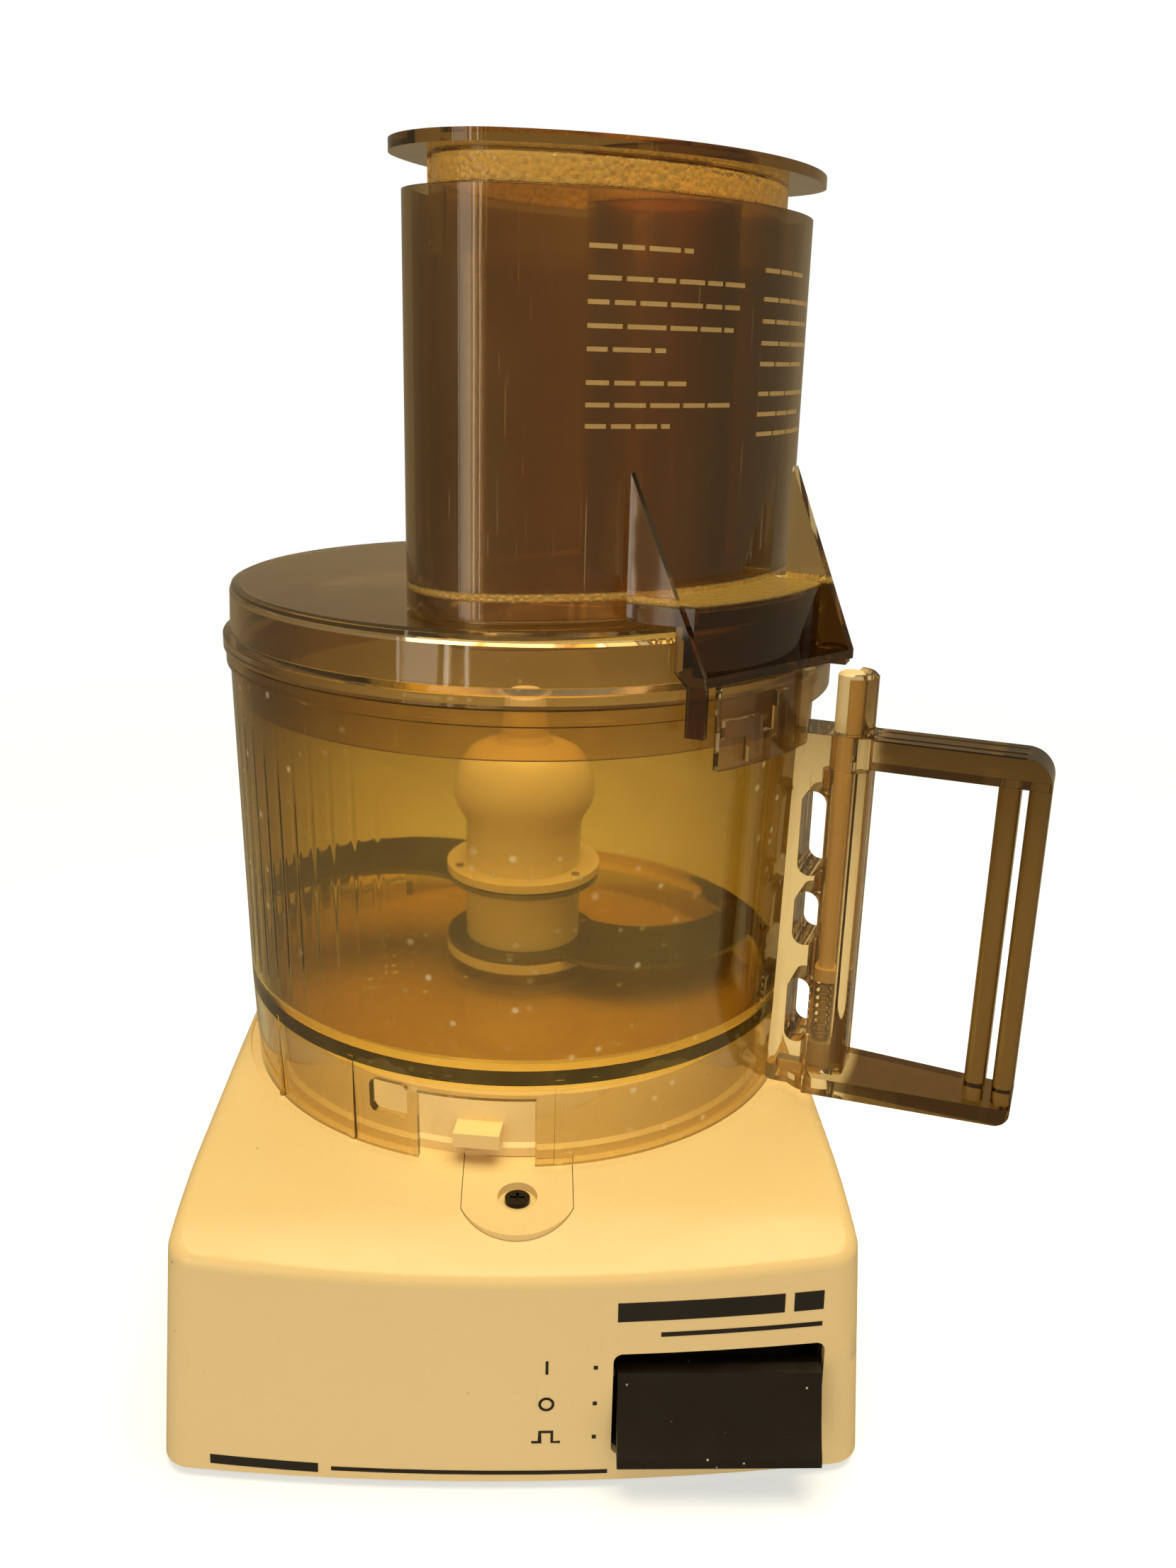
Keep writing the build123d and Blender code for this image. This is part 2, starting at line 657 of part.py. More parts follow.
# handle and rod housing, drawn with +X outward and turned into place at the end
with BuildPart() as handle:
    with BuildSketch(Plane.XY.offset(handle_z0)):
        with Locations((97.0, 0)):
            RectangleRounded(24.0, 16.4, 3.2)
    extrude(amount=handle_z1 - handle_z0)
    # rounded foot around the tube
    with BuildSketch(Plane.XY.offset(handle_z0)):
        with Locations((rod_r0, 0)):
            Circle(11.5)
    extrude(amount=4)
    # bottom plate, wider at the tube
    with BuildSketch(Plane.XY.offset(handle_z0)):
        with BuildLine():
            Polyline((98, -12.5), (handle_out, -8.5), (handle_out, 8.5), (98, 12.5), (98, -12.5))
        make_face()
    extrude(amount=5.6)
    # top bar with two ridges
    with BuildSketch(Plane.XY.offset(handle_z1 - 9)):
        with Locations(((98 + handle_out) / 2, 0)):
            Rectangle(handle_out - 98, 14)
    extrude(amount=9)
    # two posts
    with BuildSketch(Plane.XY.offset(handle_z0 + 4)):
        with Locations((147.4, 0), (155.5, 0)):
            RectangleRounded(6.0, 13, 2.4)
    extrude(amount=handle_z1 - handle_z0 - 8)
    fillet(handle.edges().filter_by(Axis.Y).filter_by(lambda e: e.center().X > handle_out - 0.2 and e.center().Z > handle_z1 - 0.1), radius=8.0)
    fillet(handle.edges().filter_by(Axis.Y).filter_by(lambda e: e.center().X > handle_out - 0.2 and e.center().Z < handle_z0 + 0.1), radius=4.5)
    # ridges on the top bar
    with BuildSketch(Plane.XY.offset(handle_z1 - 1)):
        with Locations((130, -3.2), (130, 3.2)):
            Rectangle(42, 1.6)
    extrude(amount=2, mode=Mode.SUBTRACT)
    # half-round guard behind the rod
    with BuildSketch(Plane.XY.offset(handle_z1)):
        with Locations((rod_r0, 0)):
            Circle(7.7)
            Circle(4.6, mode=Mode.SUBTRACT)
        with Locations((rod_r0 - 6.2, 0)):
            Rectangle(14, 20, mode=Mode.SUBTRACT)
    extrude(amount=17.5)
    chamfer(handle.edges().group_by(Axis.Z)[-1], length=1.0)
    # bore for the rod and its spring, guide bore at the top
    with BuildSketch(Plane.XY.offset(handle_z0 - 1)):
        with Locations((rod_r0, 0)):
            Circle(5.7)
    extrude(amount=178 - handle_z0 + 1, mode=Mode.SUBTRACT)
    with BuildSketch(Plane.XY.offset(170)):
        with Locations((rod_r0, 0)):
            Circle(rod_r + 0.08)
    extrude(amount=30, mode=Mode.SUBTRACT)
    # slot under the tube for the rod's toe
    with BuildSketch(Plane.XY.offset(handle_z0 - 1)):
        with Locations((95.8, 0)):
            Rectangle(15.2, 6.4)
    extrude(amount=7, mode=Mode.SUBTRACT)
    # obround windows through the housing
    with BuildSketch(Plane.XZ):
        with Locations((94.4, 159)):
            SlotOverall(26, 7.2, rotation=90)
        with Locations((94.4, 132.5)):
            SlotOverall(17, 7.2, rotation=90)
        with Locations((94.0, 102.5)):
            SlotOverall(21, 6.8, rotation=90)
    extrude(amount=12, both=True, mode=Mode.SUBTRACT)
    # inner face follows the bowl wall
    with BuildSketch(Plane.XZ):
        with BuildLine():
            Polyline((0, 70), (bowl_r_foot + 0.05 - 0.19, 70), (bowl_r_floor + 0.05, bowl_floor_z),
                     (bowl_r_top + 0.05, bowl_rim_z - 4.5), (0, bowl_rim_z - 4.5), (0, 70))
        make_face()
    revolve(axis=Axis.Z, mode=Mode.SUBTRACT)

with BuildPart() as plug:
    with BuildSketch(Plane.XY.offset(83.5)):
        with Locations((rod_r0, 0)):
            Circle(5.68)
            Circle(2.08, mode=Mode.SUBTRACT)
    extrude(amount=8.5)

with BuildPart() as rod:
    with BuildSketch(Plane.XY.offset(116)):
        with Locations((rod_r0, 0)):
            Circle(rod_r)
    extrude(amount=90.3)
    chamfer(rod.edges().group_by(Axis.Z)[-1], length=0.8)
    with BuildSketch(Plane.XY.offset(112)):
        with Locations((rod_r0, 0)):
            Circle(5.3)
    extrude(amount=4)
    with BuildSketch(Plane.XY.offset(80.3)):
        with Locations((rod_r0, 0)):
            Circle(2.0)
    extrude(amount=32)
    with BuildSketch(Plane.XY.offset(80.3)):
        with Locations((95.4, 0)):
            RectangleRounded(14.0, 5.0, 1.5)
    extrude(amount=2.6)
    with BuildSketch(Plane.XY.offset(77.1)):
        with Locations((91, 0)):
            Circle(2.0)
    extrude(amount=3.3)

with BuildPart() as spring:
    with BuildLine() as coil:
        Helix(pitch=2.62, height=18.3, radius=4.45, center=(0, 0, 0))
    with BuildSketch(Plane(coil.line @ 0, z_dir=coil.line % 0)):
        Circle(0.55)
    sweep()

# --------------------------------------------------------------------- blade
with BuildPart() as blade_hub:
    with BuildSketch(Plane.XZ):
        with BuildLine():
            Polyline((15.75, 104.4), (24.5, 104.4), (24.5, 107.4), (18.4, 108.0), (18.4, 131.0), (24.5, 131.6),
                     (24.5, 134.2), (18.4, 134.2), (18.4, 146))
            Spline((18.4, 146), (21.6, 154), (21.8, 163), (18.6, 170), (9.0, 174.6), tangents=((0, 1), (-1, 0.25)))
            Polyline((9.0, 174.6), (7.4, 177), (6.4, 188), (4.6, 190.5), (0, 190.5), (0, 174),
                     (spindle_r + 0.05, 174), (spindle_r + 0.05, 152.5), (12.4, 152.5), (15.75, 151.4), (15.75, 104.4))
        make_face()
    revolve(axis=Axis.Z)
    with BuildSketch(Plane.XY.offset(154.0)):
        with Locations((spindle_r + 3.45, 0)):
            Rectangle(9.4, 9.6)
        Circle(spindle_r + 0.6, mode=Mode.INTERSECT)
    extrude(amount=20.5)
    with BuildSketch(Plane.XY.offset(100)):
        with Locations(polar(21.4, 20), polar(21.4, 140), polar(21.4, 260)):
            Circle(1.3)
    extrude(amount=20, mode=Mode.SUBTRACT)
    with BuildSketch(Plane.XY.offset(125)):
        with Locations(polar(21.4, 200), polar(21.4, 320), polar(21.4, 80)):
            Circle(1.3)
    extrude(amount=15, mode=Mode.SUBTRACT)


def sickle():
    """Plan of one blade: mounting ring and a curved arm ending in a point."""
    with BuildSketch() as s:
        with BuildLine():
            Spline(polar(22, -62), polar(44, -40), polar(66, -14), polar(80.5, 16))
            Line(polar(80.5, 16), polar(76.5, 17.5))
            Spline(polar(76.5, 17.5), polar(58, 8), polar(40, 4), polar(22, 40))
            Line(polar(22, 40), (0, 0))
            Line((0, 0), polar(22, -62))
        make_face()
        Circle(24.3)
        Circle(18.5, mode=Mode.SUBTRACT)
        with Locations(polar(21.4, 20), polar(21.4, 140), polar(21.4, 260)):
            Circle(1.3, mode=Mode.SUBTRACT)
    return s.sketch


with BuildPart() as lower_blade:
    with BuildSketch(Plane.XY.offset(108.02)):
        add(sickle())
    extrude(amount=1.6)

with BuildPart() as upper_blade:
    with BuildSketch(Plane.XY.offset(129.4)):
        add(sickle().rotate(Axis.Z, 180))
    extrude(amount=1.6)

with BuildPart() as blade_rivets:
    for z0, turn in ((104.4, 0), (129.4, 180)):
        with BuildSketch(Plane.XY.offset(z0)):
            with Locations(polar(21.4, 20 + turn), polar(21.4, 140 + turn), polar(21.4, 260 + turn)):
                Circle(1.28)
        extrude(amount=5.2)

# --------------------------------------------------------------------- cover
with BuildPart() as bowl_cover:
    with BuildSketch(Plane.XZ):
        with BuildLine():
            Polyline((0, cover_z), (85.6, cover_z), (87.2, 224.3), (87.8, 222.8), (88.2, 211.4), (90.3, 210.2),
                     (90.3, 206.7), (84.9, 206.7), (84.6, 192), (82.6, 192), (82.8, 208.6), (85.6, 211.2),
                     (85.2, 221.4), (84.2, 222.2), (0, 222.2), (0, cover_z))
        make_face()
    revolve(axis=Axis.Z)
    with BuildSketch(Plane.XY.offset(218)):
        add(oval(-4.0))
    extrude(amount=chute_top - 218)
    with BuildSketch(Plane.XY.offset(210)):
        add(oval(-6.2))
    extrude(amount=120, mode=Mode.SUBTRACT)
    # locking web outside the bowl wall, with its ribs and hook
    with BuildSketch(Plane.XY.offset(187.6)):
        Circle(92.8)
        Circle(90.7, mode=Mode.SUBTRACT)
        with BuildLine():
            Polyline((0, 0), polar(140, -57), polar(140, -31), (0, 0))
        make_face(mode=Mode.INTERSECT)
    extrude(amount=22.4)
    with BuildSketch(Plane.XY.offset(199)):
        Circle(92.8)
        Circle(90.7, mode=Mode.SUBTRACT)
        with BuildLine():
            Polyline((0, 0), polar(140, -32), polar(140, -14), (0, 0))
        make_face(mode=Mode.INTERSECT)
    extrude(amount=11)
    with BuildSketch(Plane.XY.offset(206.7)):
        Circle(92.8)
        Circle(88.5, mode=Mode.SUBTRACT)
        with BuildLine():
            Polyline((0, 0), polar(140, -57), polar(140, -14), (0, 0))
        make_face(mode=Mode.INTERSECT)
    extrude(amount=3.3)
    for a0, a1, z0, z1 in ((-57, -48.5, 196.6, 201.6), (-51.5, -46.0, 189.5, 197.0), (-44.6, -41.6, 194, 206.8)):
        with BuildSketch(Plane.XY.offset(z0)):
            Circle(94.8)
            Circle(92.0, mode=Mode.SUBTRACT)
            with BuildLine():
                Polyline((0, 0), polar(140, a0), polar(140, a1), (0, 0))
            make_face(mode=Mode.INTERSECT)
        extrude(amount=z1 - z0)

# -------------------------------------------------------------------- sleeve
with BuildPart() as pusher_sleeve:
    with BuildSketch(Plane.XY.offset(sleeve_z0)):
        add(oval(0))
    extrude(amount=sleeve_z1 - sleeve_z0)
    # locking apron: a shelf and a round wall outside the cover's side, standing on a straight ledge over the rim
    with BuildSketch(Plane.XY.offset(211)):
        with BuildLine():
            Polyline((27.0, -74), polar(91.4, -62.5))
            ThreePointArc(polar(91.4, -62.5), polar(91.4, -45), polar(91.4, -27))
            Polyline(polar(91.4, -27), (75, -27.5), (40, -40), (27.0, -74))
        make_face()
    extrude(amount=20.6)
    with BuildSketch(Plane.XY.offset(210)):
        with BuildLine():
            Polyline((29.2, -72.6), polar(89.4, -61))
            ThreePointArc(polar(89.4, -61), polar(89.4, -45), polar(89.4, -28.6))
            Polyline(polar(89.4, -28.6), (76.5, -30.2), (40, -40), (29.2, -72.6))
        make_face()
    extrude(amount=19.4, mode=Mode.SUBTRACT)
    with BuildSketch(Plane.XY.offset(211)):
        with BuildLine():
            Polyline((41.0, -79.0), (45.5, -83.4), (90.8, -44.1), (92.3, -38.4), (88.0, -33.0), (60, -50), (41.0, -79.0))
        make_face()
    extrude(amount=2.6)
    # presser over the rod
    with BuildSketch(Plane.XY.offset(208.6)):
        with Locations(Location((96.4 * math.cos(math.radians(handle_turn)), 96.4 * math.sin(math.radians(handle_turn)), 0), (0, 0, handle_turn))):
            Rectangle(5.6, 6.0)
    extrude(amount=4.4)

with BuildPart() as gusset_l:
    gl_x = Vector(18.5, -9.0, 0).normalized()
    with BuildSketch(Plane(origin=(27.0, -74.4, 0), x_dir=gl_x, z_dir=gl_x.cross(Vector(0, 0, 1)))):
        with BuildLine():
            Polyline((-1.0, 263), (20.6, 213.6), (21.2, 210), (21.2, 198), (16.0, 198), (16.0, 211), (-1.0, 227.5), (-1.0, 263))
        make_face()
    extrude(amount=1.2, both=True)

with BuildPart() as gusset_r:
    gr_x = Vector(15.4, -15.9, 0).normalized()
    with BuildSketch(Plane(origin=(75.4, -28.2, 0), x_dir=gr_x, z_dir=gr_x.cross(Vector(0, 0, 1)))):
        with BuildLine():
            Polyline((-1.0, 262), (22.1, 213.6), (22.1, 211), (14, 211), (-1.0, 227.5), (-1.0, 262))
        make_face()
    extrude(amount=1.2, both=True)

with BuildPart() as pusher_sleeve2:
    add(pusher_sleeve.part)
    add(gusset_l.part)
    add(gusset_r.part)
    with BuildSketch(Plane.XY.offset(200)):
        add(oval(-2.3))
    extrude(amount=140, mode=Mode.SUBTRACT)
    # room for the cover's side band and rim flange
    with BuildSketch(Plane.XY.offset(190)):
        Circle(89.3)
    extrude(amount=sleeve_z0 - 190, mode=Mode.SUBTRACT)
    with BuildSketch(Plane.XY.offset(190)):
        Circle(90.8)
    extrude(amount=21.2, mode=Mode.SUBTRACT)

# ------------------------------------------------------------------- pushers
with BuildPart() as food_pusher:
    with BuildSketch(Plane.XY.offset(230)):
        add(oval(-7.4))
    extrude(amount=106)
    with BuildSketch(Plane.XY.offset(232.4)):
        add(oval(-9.6))
    extrude(amount=110, mode=Mode.SUBTRACT)
    with BuildSketch(Plane.XY.offset(335.6)):
        add(oval(3.0))
    extrude(amount=flange_z - 335.6)
    with BuildSketch(Plane.XY.offset(330)):
        add(oval(-9.6))
    extrude(amount=12, mode=Mode.SUBTRACT)
    # small feed tube inside
    with BuildSketch(Plane.XY.offset(230)):
        with Locations(small_c):
            Circle(small_or)
    extrude(amount=flange_z - 230)
    with BuildSketch(Plane.XY.offset(229)):
        with Locations(small_c):
            Circle(small_ir)
    extrude(amount=120, mode=Mode.SUBTRACT)
    # web that ties the small tube to the rim
    with BuildSketch(Plane.XY.offset(334.0)):
        add(oval(-9.4))
        with Locations(small_c):
            Circle(small_or - 0.2, mode=Mode.SUBTRACT)
        with Locations((small_c[0] + 14, small_c[1] + 11)):
            Rectangle(60, 60, rotation=40, mode=Mode.INTERSECT)
    extrude(amount=2.4)

with BuildPart() as pusher_rib:
    with BuildSketch(Plane.XZ.offset(0)):
        with BuildLine():
            Polyline((-2.6, 337), (-2.6, 316.6))
            ThreePointArc((-2.6, 316.6), (0, 313.8), (2.6, 316.6))
            Polyline((2.6, 316.6), (2.6, 337), (-2.6, 337))
        make_face()
    extrude(amount=2.8)

with BuildPart() as food_pusher2:
    add(food_pusher.part)
    add(pusher_rib.part.rotate(Axis.Z, -60).moved(Location((-21.6, -51.6, 0))))

with BuildPart() as small_pusher:
    with BuildSketch(Plane.XY.offset(232)):
        with Locations(small_c):
            Circle(18.3)
    extrude(amount=107)
    with BuildSketch(Plane.XY.offset(234)):
        with Locations(small_c):
            Circle(16.3)
    extrude(amount=110, mode=Mode.SUBTRACT)
    with BuildSketch(Plane.XY.offset(338.8)):
        with Locations(small_c):
            Circle(22)
            Circle(16.3, mode=Mode.SUBTRACT)
    extrude(amount=2.4)

# -------------------------------------------------------------------- export
coil_place = Location((rod_r0, 0, 92.85))
named = {
    "base_housing": base_housing2.part,
    "bottom_plate": bottom_plate.part,
    "rubber_feet": rubber_feet.part,
    "bottom_screws": bottom_screws.part,
    "bowl_seat": bowl_seat.part,
    "seat_screws": seat_screws.part,
    "shaft_sheath": shaft_sheath.part,
    "motor_shaft": motor_shaft.part,
    "rotor_core": rotor_core.part,
    "cooling_fan": cooling_fan.part,
    "motor_stator": motor_stator.part,
    "stator_windings": stator_windings.part,
    "lower_end_bell": lower_end_bell.part,
    "upper_end_bell": upper_end_bell.part,
    "lower_bearing": lower_bearing.part,
    "upper_bearing": upper_bearing.part,
    "motor_bolts": motor_bolts.part,
    "motor_grommets": motor_grommets.part,
    "motor_screws": motor_screws.part,
    "run_capacitor": run_capacitor.part,
    "capacitor_clamp": capacitor_clamp.part,
    "cord_gland": cord_gland.part,
    "switch_frame": switch_frame.part,
    "paddle_pin": paddle_pin.part,
    "control_paddle": control_paddle.part,
    "control_switch": control_switch.part,
    "interlock_bracket": interlock_bracket.part,
    "interlock_switch": interlock_switch.part,
    "interlock_plunger": interlock_plunger.part,
    "work_bowl": work_bowl2.part,
    "bowl_handle": handle.part.rotate(Axis.Z, handle_turn),
    "rod_guide_plug": plug.part.rotate(Axis.Z, handle_turn),
    "actuator_rod": rod.part.rotate(Axis.Z, handle_turn),
    "actuator_spring": spring.part.moved(coil_place).rotate(Axis.Z, handle_turn),
    "blade_hub": blade_hub.part,
    "lower_blade": lower_blade.part,
    "upper_blade": upper_blade.part,
    "blade_rivets": blade_rivets.part,
    "bowl_cover": bowl_cover.part,
    "pusher_sleeve": pusher_sleeve2.part,
    "food_pusher": food_pusher2.part,
    "small_pusher": small_pusher.part,
}
# everything is moved so that the origin lies under the middle of the overall box
to_middle = Location((-27.11, -5.84, 0))
for name, shape in named.items():
    shape = shape.moved(to_middle)
    shape.label = name
    export_step(shape, f"parts/{name}.step")
    print(name, len(shape.solids()), round(shape.volume, 1), shape.is_valid)
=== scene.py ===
import math
import random

import bmesh
import bpy
from mathutils import Matrix, Vector
from mathutils.bvhtree import BVHTree


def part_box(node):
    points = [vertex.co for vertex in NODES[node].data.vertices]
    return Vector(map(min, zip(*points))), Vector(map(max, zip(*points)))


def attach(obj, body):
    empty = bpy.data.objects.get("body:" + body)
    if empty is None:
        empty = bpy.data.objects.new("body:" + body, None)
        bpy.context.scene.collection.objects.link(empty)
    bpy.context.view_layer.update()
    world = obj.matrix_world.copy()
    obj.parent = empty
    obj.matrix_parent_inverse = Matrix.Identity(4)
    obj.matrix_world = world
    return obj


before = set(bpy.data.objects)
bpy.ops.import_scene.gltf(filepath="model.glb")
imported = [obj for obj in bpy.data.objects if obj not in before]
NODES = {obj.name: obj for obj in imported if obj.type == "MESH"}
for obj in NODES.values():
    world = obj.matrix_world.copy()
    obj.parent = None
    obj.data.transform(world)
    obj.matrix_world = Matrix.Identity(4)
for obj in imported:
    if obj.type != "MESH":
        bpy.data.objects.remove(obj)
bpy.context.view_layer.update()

scene = bpy.context.scene
_lo, _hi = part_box("motor_shaft")
AX, AY = (_lo.x + _hi.x) / 2, (_lo.y + _hi.y) / 2      # the drive axis


# ------------------------------------------------------------------ camera
def make_camera():
    cam = bpy.data.cameras.new("view_camera")
    ob = bpy.data.objects.new("view_camera", cam)
    scene.collection.objects.link(ob)
    yaw, pitch, roll = (math.radians(a) for a in (2.45, 17.57, 1.53))
    right = Vector((math.cos(yaw), -math.sin(yaw), 0))
    fwd = Vector((math.sin(yaw) * math.cos(pitch), math.cos(yaw) * math.cos(pitch), -math.sin(pitch)))
    up = right.cross(fwd)
    r = right * math.cos(roll) + up * math.sin(roll)
    u = -right * math.sin(roll) + up * math.cos(roll)
    m = Matrix((r, u, -fwd)).transposed().to_4x4()
    m.translation = Vector((0.0023 + AX, -0.4198 + AY, 0.2923))
    ob.matrix_world = m
    cam.sensor_fit = "HORIZONTAL"
    cam.sensor_width = 36
    cam.lens = 42.31
    cam.clip_start = 0.01
    cam.clip_end = 50
    scene.camera = ob


make_camera()


# ------------------------------------------------------------ node helpers
class Mat:
    """A procedural material: one Principled shader with small helpers for its nodes."""

    def __init__(self, name):
        self.m = bpy.data.materials.new(name)
        self.m.use_nodes = True
        self.t = self.m.node_tree
        self.t.nodes.clear()
        out = self.node("ShaderNodeOutputMaterial")
        self.p = self.node("ShaderNodeBsdfPrincipled")
        self.t.links.new(self.p.outputs[0], out.inputs[0])
        self.co = self.node("ShaderNodeTexCoord").outputs["Object"]
        self.xyz = None

    def node(self, kind, **kw):
        n = self.t.nodes.new(kind)
        for k, v in kw.items():
            setattr(n, k, v)
        return n

    def put(self, socket, value):
        if isinstance(value, bpy.types.NodeSocket):
            self.t.links.new(value, socket)
        else:
            socket.default_value = value

    def set(self, name, value):
        self.put(self.p.inputs[name], value)

    def axis(self, i):
        if self.xyz is None:
            self.xyz = self.node("ShaderNodeSeparateXYZ")
            self.put(self.xyz.inputs[0], self.co)
        return self.xyz.outputs[i]

    def stretched(self, scale, shift=(0, 0, 0), turn=(0, 0, 0)):
        n = self.node("ShaderNodeMapping")
        self.put(n.inputs["Vector"], self.co)
        n.inputs["Location"].default_value = shift
        n.inputs["Rotation"].default_value = turn
        n.inputs["Scale"].default_value = scale
        return n.outputs[0]

    def noise(self, scale, detail=3, rough=0.5, dist=0, co=None):
        n = self.node("ShaderNodeTexNoise")
        self.put(n.inputs["Vector"], co if co is not None else self.co)
        n.inputs["Scale"].default_value = scale
        n.inputs["Detail"].default_value = detail
        n.inputs["Roughness"].default_value = rough
        n.inputs["Distortion"].default_value = dist
        return n.outputs["Fac"]

    def cells(self, scale, feature="F1", co=None, rand=1):
        n = self.node("ShaderNodeTexVoronoi", feature=feature)
        self.put(n.inputs["Vector"], co if co is not None else self.co)
        n.inputs["Scale"].default_value = scale
        n.inputs["Randomness"].default_value = rand
        return n.outputs["Distance"]

    def cell_value(self, scale, co=None):
        n = self.node("ShaderNodeTexVoronoi", feature="F1")
        self.put(n.inputs["Vector"], co if co is not None else self.co)
        n.inputs["Scale"].default_value = scale
        s = self.node("ShaderNodeSeparateColor")
        self.put(s.inputs[0], n.outputs["Color"])
        return n.outputs["Distance"], s.outputs[0]

    def span(self, v, a, b, c=0.0, d=1.0, smooth=False):
        n = self.node("ShaderNodeMapRange", clamp=True)
        if smooth:
            n.interpolation_type = "SMOOTHSTEP"
        self.put(n.inputs["Value"], v)
        for key, x in (("From Min", a), ("From Max", b), ("To Min", c), ("To Max", d)):
            n.inputs[key].default_value = x
        return n.outputs[0]

    def math(self, op, a, b=None, c=None):
        n = self.node("ShaderNodeMath", operation=op)
        self.put(n.inputs[0], a)
        if b is not None:
            self.put(n.inputs[1], b)
        if c is not None:
            self.put(n.inputs[2], c)
        return n.outputs[0]

    def mix(self, fac, a, b, blend="MIX"):
        n = self.node("ShaderNodeMix", data_type="RGBA", blend_type=blend)
        self.put(n.inputs["Factor"], fac)
        for socket, v in ((n.inputs[6], a), (n.inputs[7], b)):
            self.put(socket, v if isinstance(v, bpy.types.NodeSocket) else (*v[:3], 1))
        return n.outputs[2]

    def bump(self, height, depth, strength=1.0, normal=None):
        n = self.node("ShaderNodeBump")
        n.inputs["Strength"].default_value = strength
        n.inputs["Distance"].default_value = depth
        self.put(n.inputs["Height"], height)
        if normal is not None:
            self.put(n.inputs["Normal"], normal)
        return n.outputs[0]

    def scratches(self, scale=900, amount=0.5):
        """Fine, nearly straight, broken lines in three directions."""
        total = None
        for turn, thin in (((0.2, 0.5, 0.1), 0.016), ((0.9, -0.4, 0.8), 0.02), ((-0.5, 1.2, -0.6), 0.03)):
            line = self.span(self.noise(scale, 1, co=self.stretched((1, 1, thin), turn=turn)), 0.74, 0.79)
            gate = self.span(self.noise(scale * 0.05, 2, co=self.stretched((1, 1, 1), turn=turn)), 0.60 - 0.15 * amount, 0.66 - 0.15 * amount)
            one = self.math("MULTIPLY", line, gate)
            total = one if total is None else self.math("MAXIMUM", total, one)
        return total


# --------------------------------------------------------------- materials
def cream(name, tint=(0.84, 0.64, 0.33), dirt=(0.52, 0.35, 0.14), rough=0.24, specks=True):
    g = Mat(name)
    cloud = g.span(g.noise(9, 4, 0.6), 0.35, 0.72)
    col = g.mix(g.math("MULTIPLY", cloud, 0.35), tint, tuple(c * k for c, k in zip(tint, (0.98, 0.93, 0.82))))
    grime = g.span(g.noise(34, 5, 0.65), 0.60, 0.80)
    col = g.mix(g.math("MULTIPLY", grime, 0.05), col, dirt)
    scr = g.scratches(800, 0.2)
    col = g.mix(g.math("MULTIPLY", scr, 0.22), col, dirt)
    if specks:
        d, v = g.cell_value(130)
        dot = g.math("MULTIPLY", g.span(d, 0.03, 0.06, 1, 0), g.span(v, 0.90, 0.92))
        col = g.mix(g.math("MULTIPLY", dot, 0.75), col, (0.16, 0.09, 0.03))
    g.set("Base Color", col)
    r = g.math("ADD", g.span(g.noise(60, 4), 0.3, 0.8, rough - 0.05, rough + 0.10), g.math("MULTIPLY", scr, 0.2))
    g.set("Roughness", r)
    h = g.math("ADD", g.math("MULTIPLY", g.noise(700, 2), 0.25), g.noise(26, 2))
    g.set("Normal", g.bump(g.math("SUBTRACT", h, g.math("MULTIPLY", scr, 0.4)), 0.00005, 0.5))
    g.p.inputs["Specular IOR Level"].default_value = 0.5
    g.p.inputs["IOR"].default_value = 1.5
    return g.m


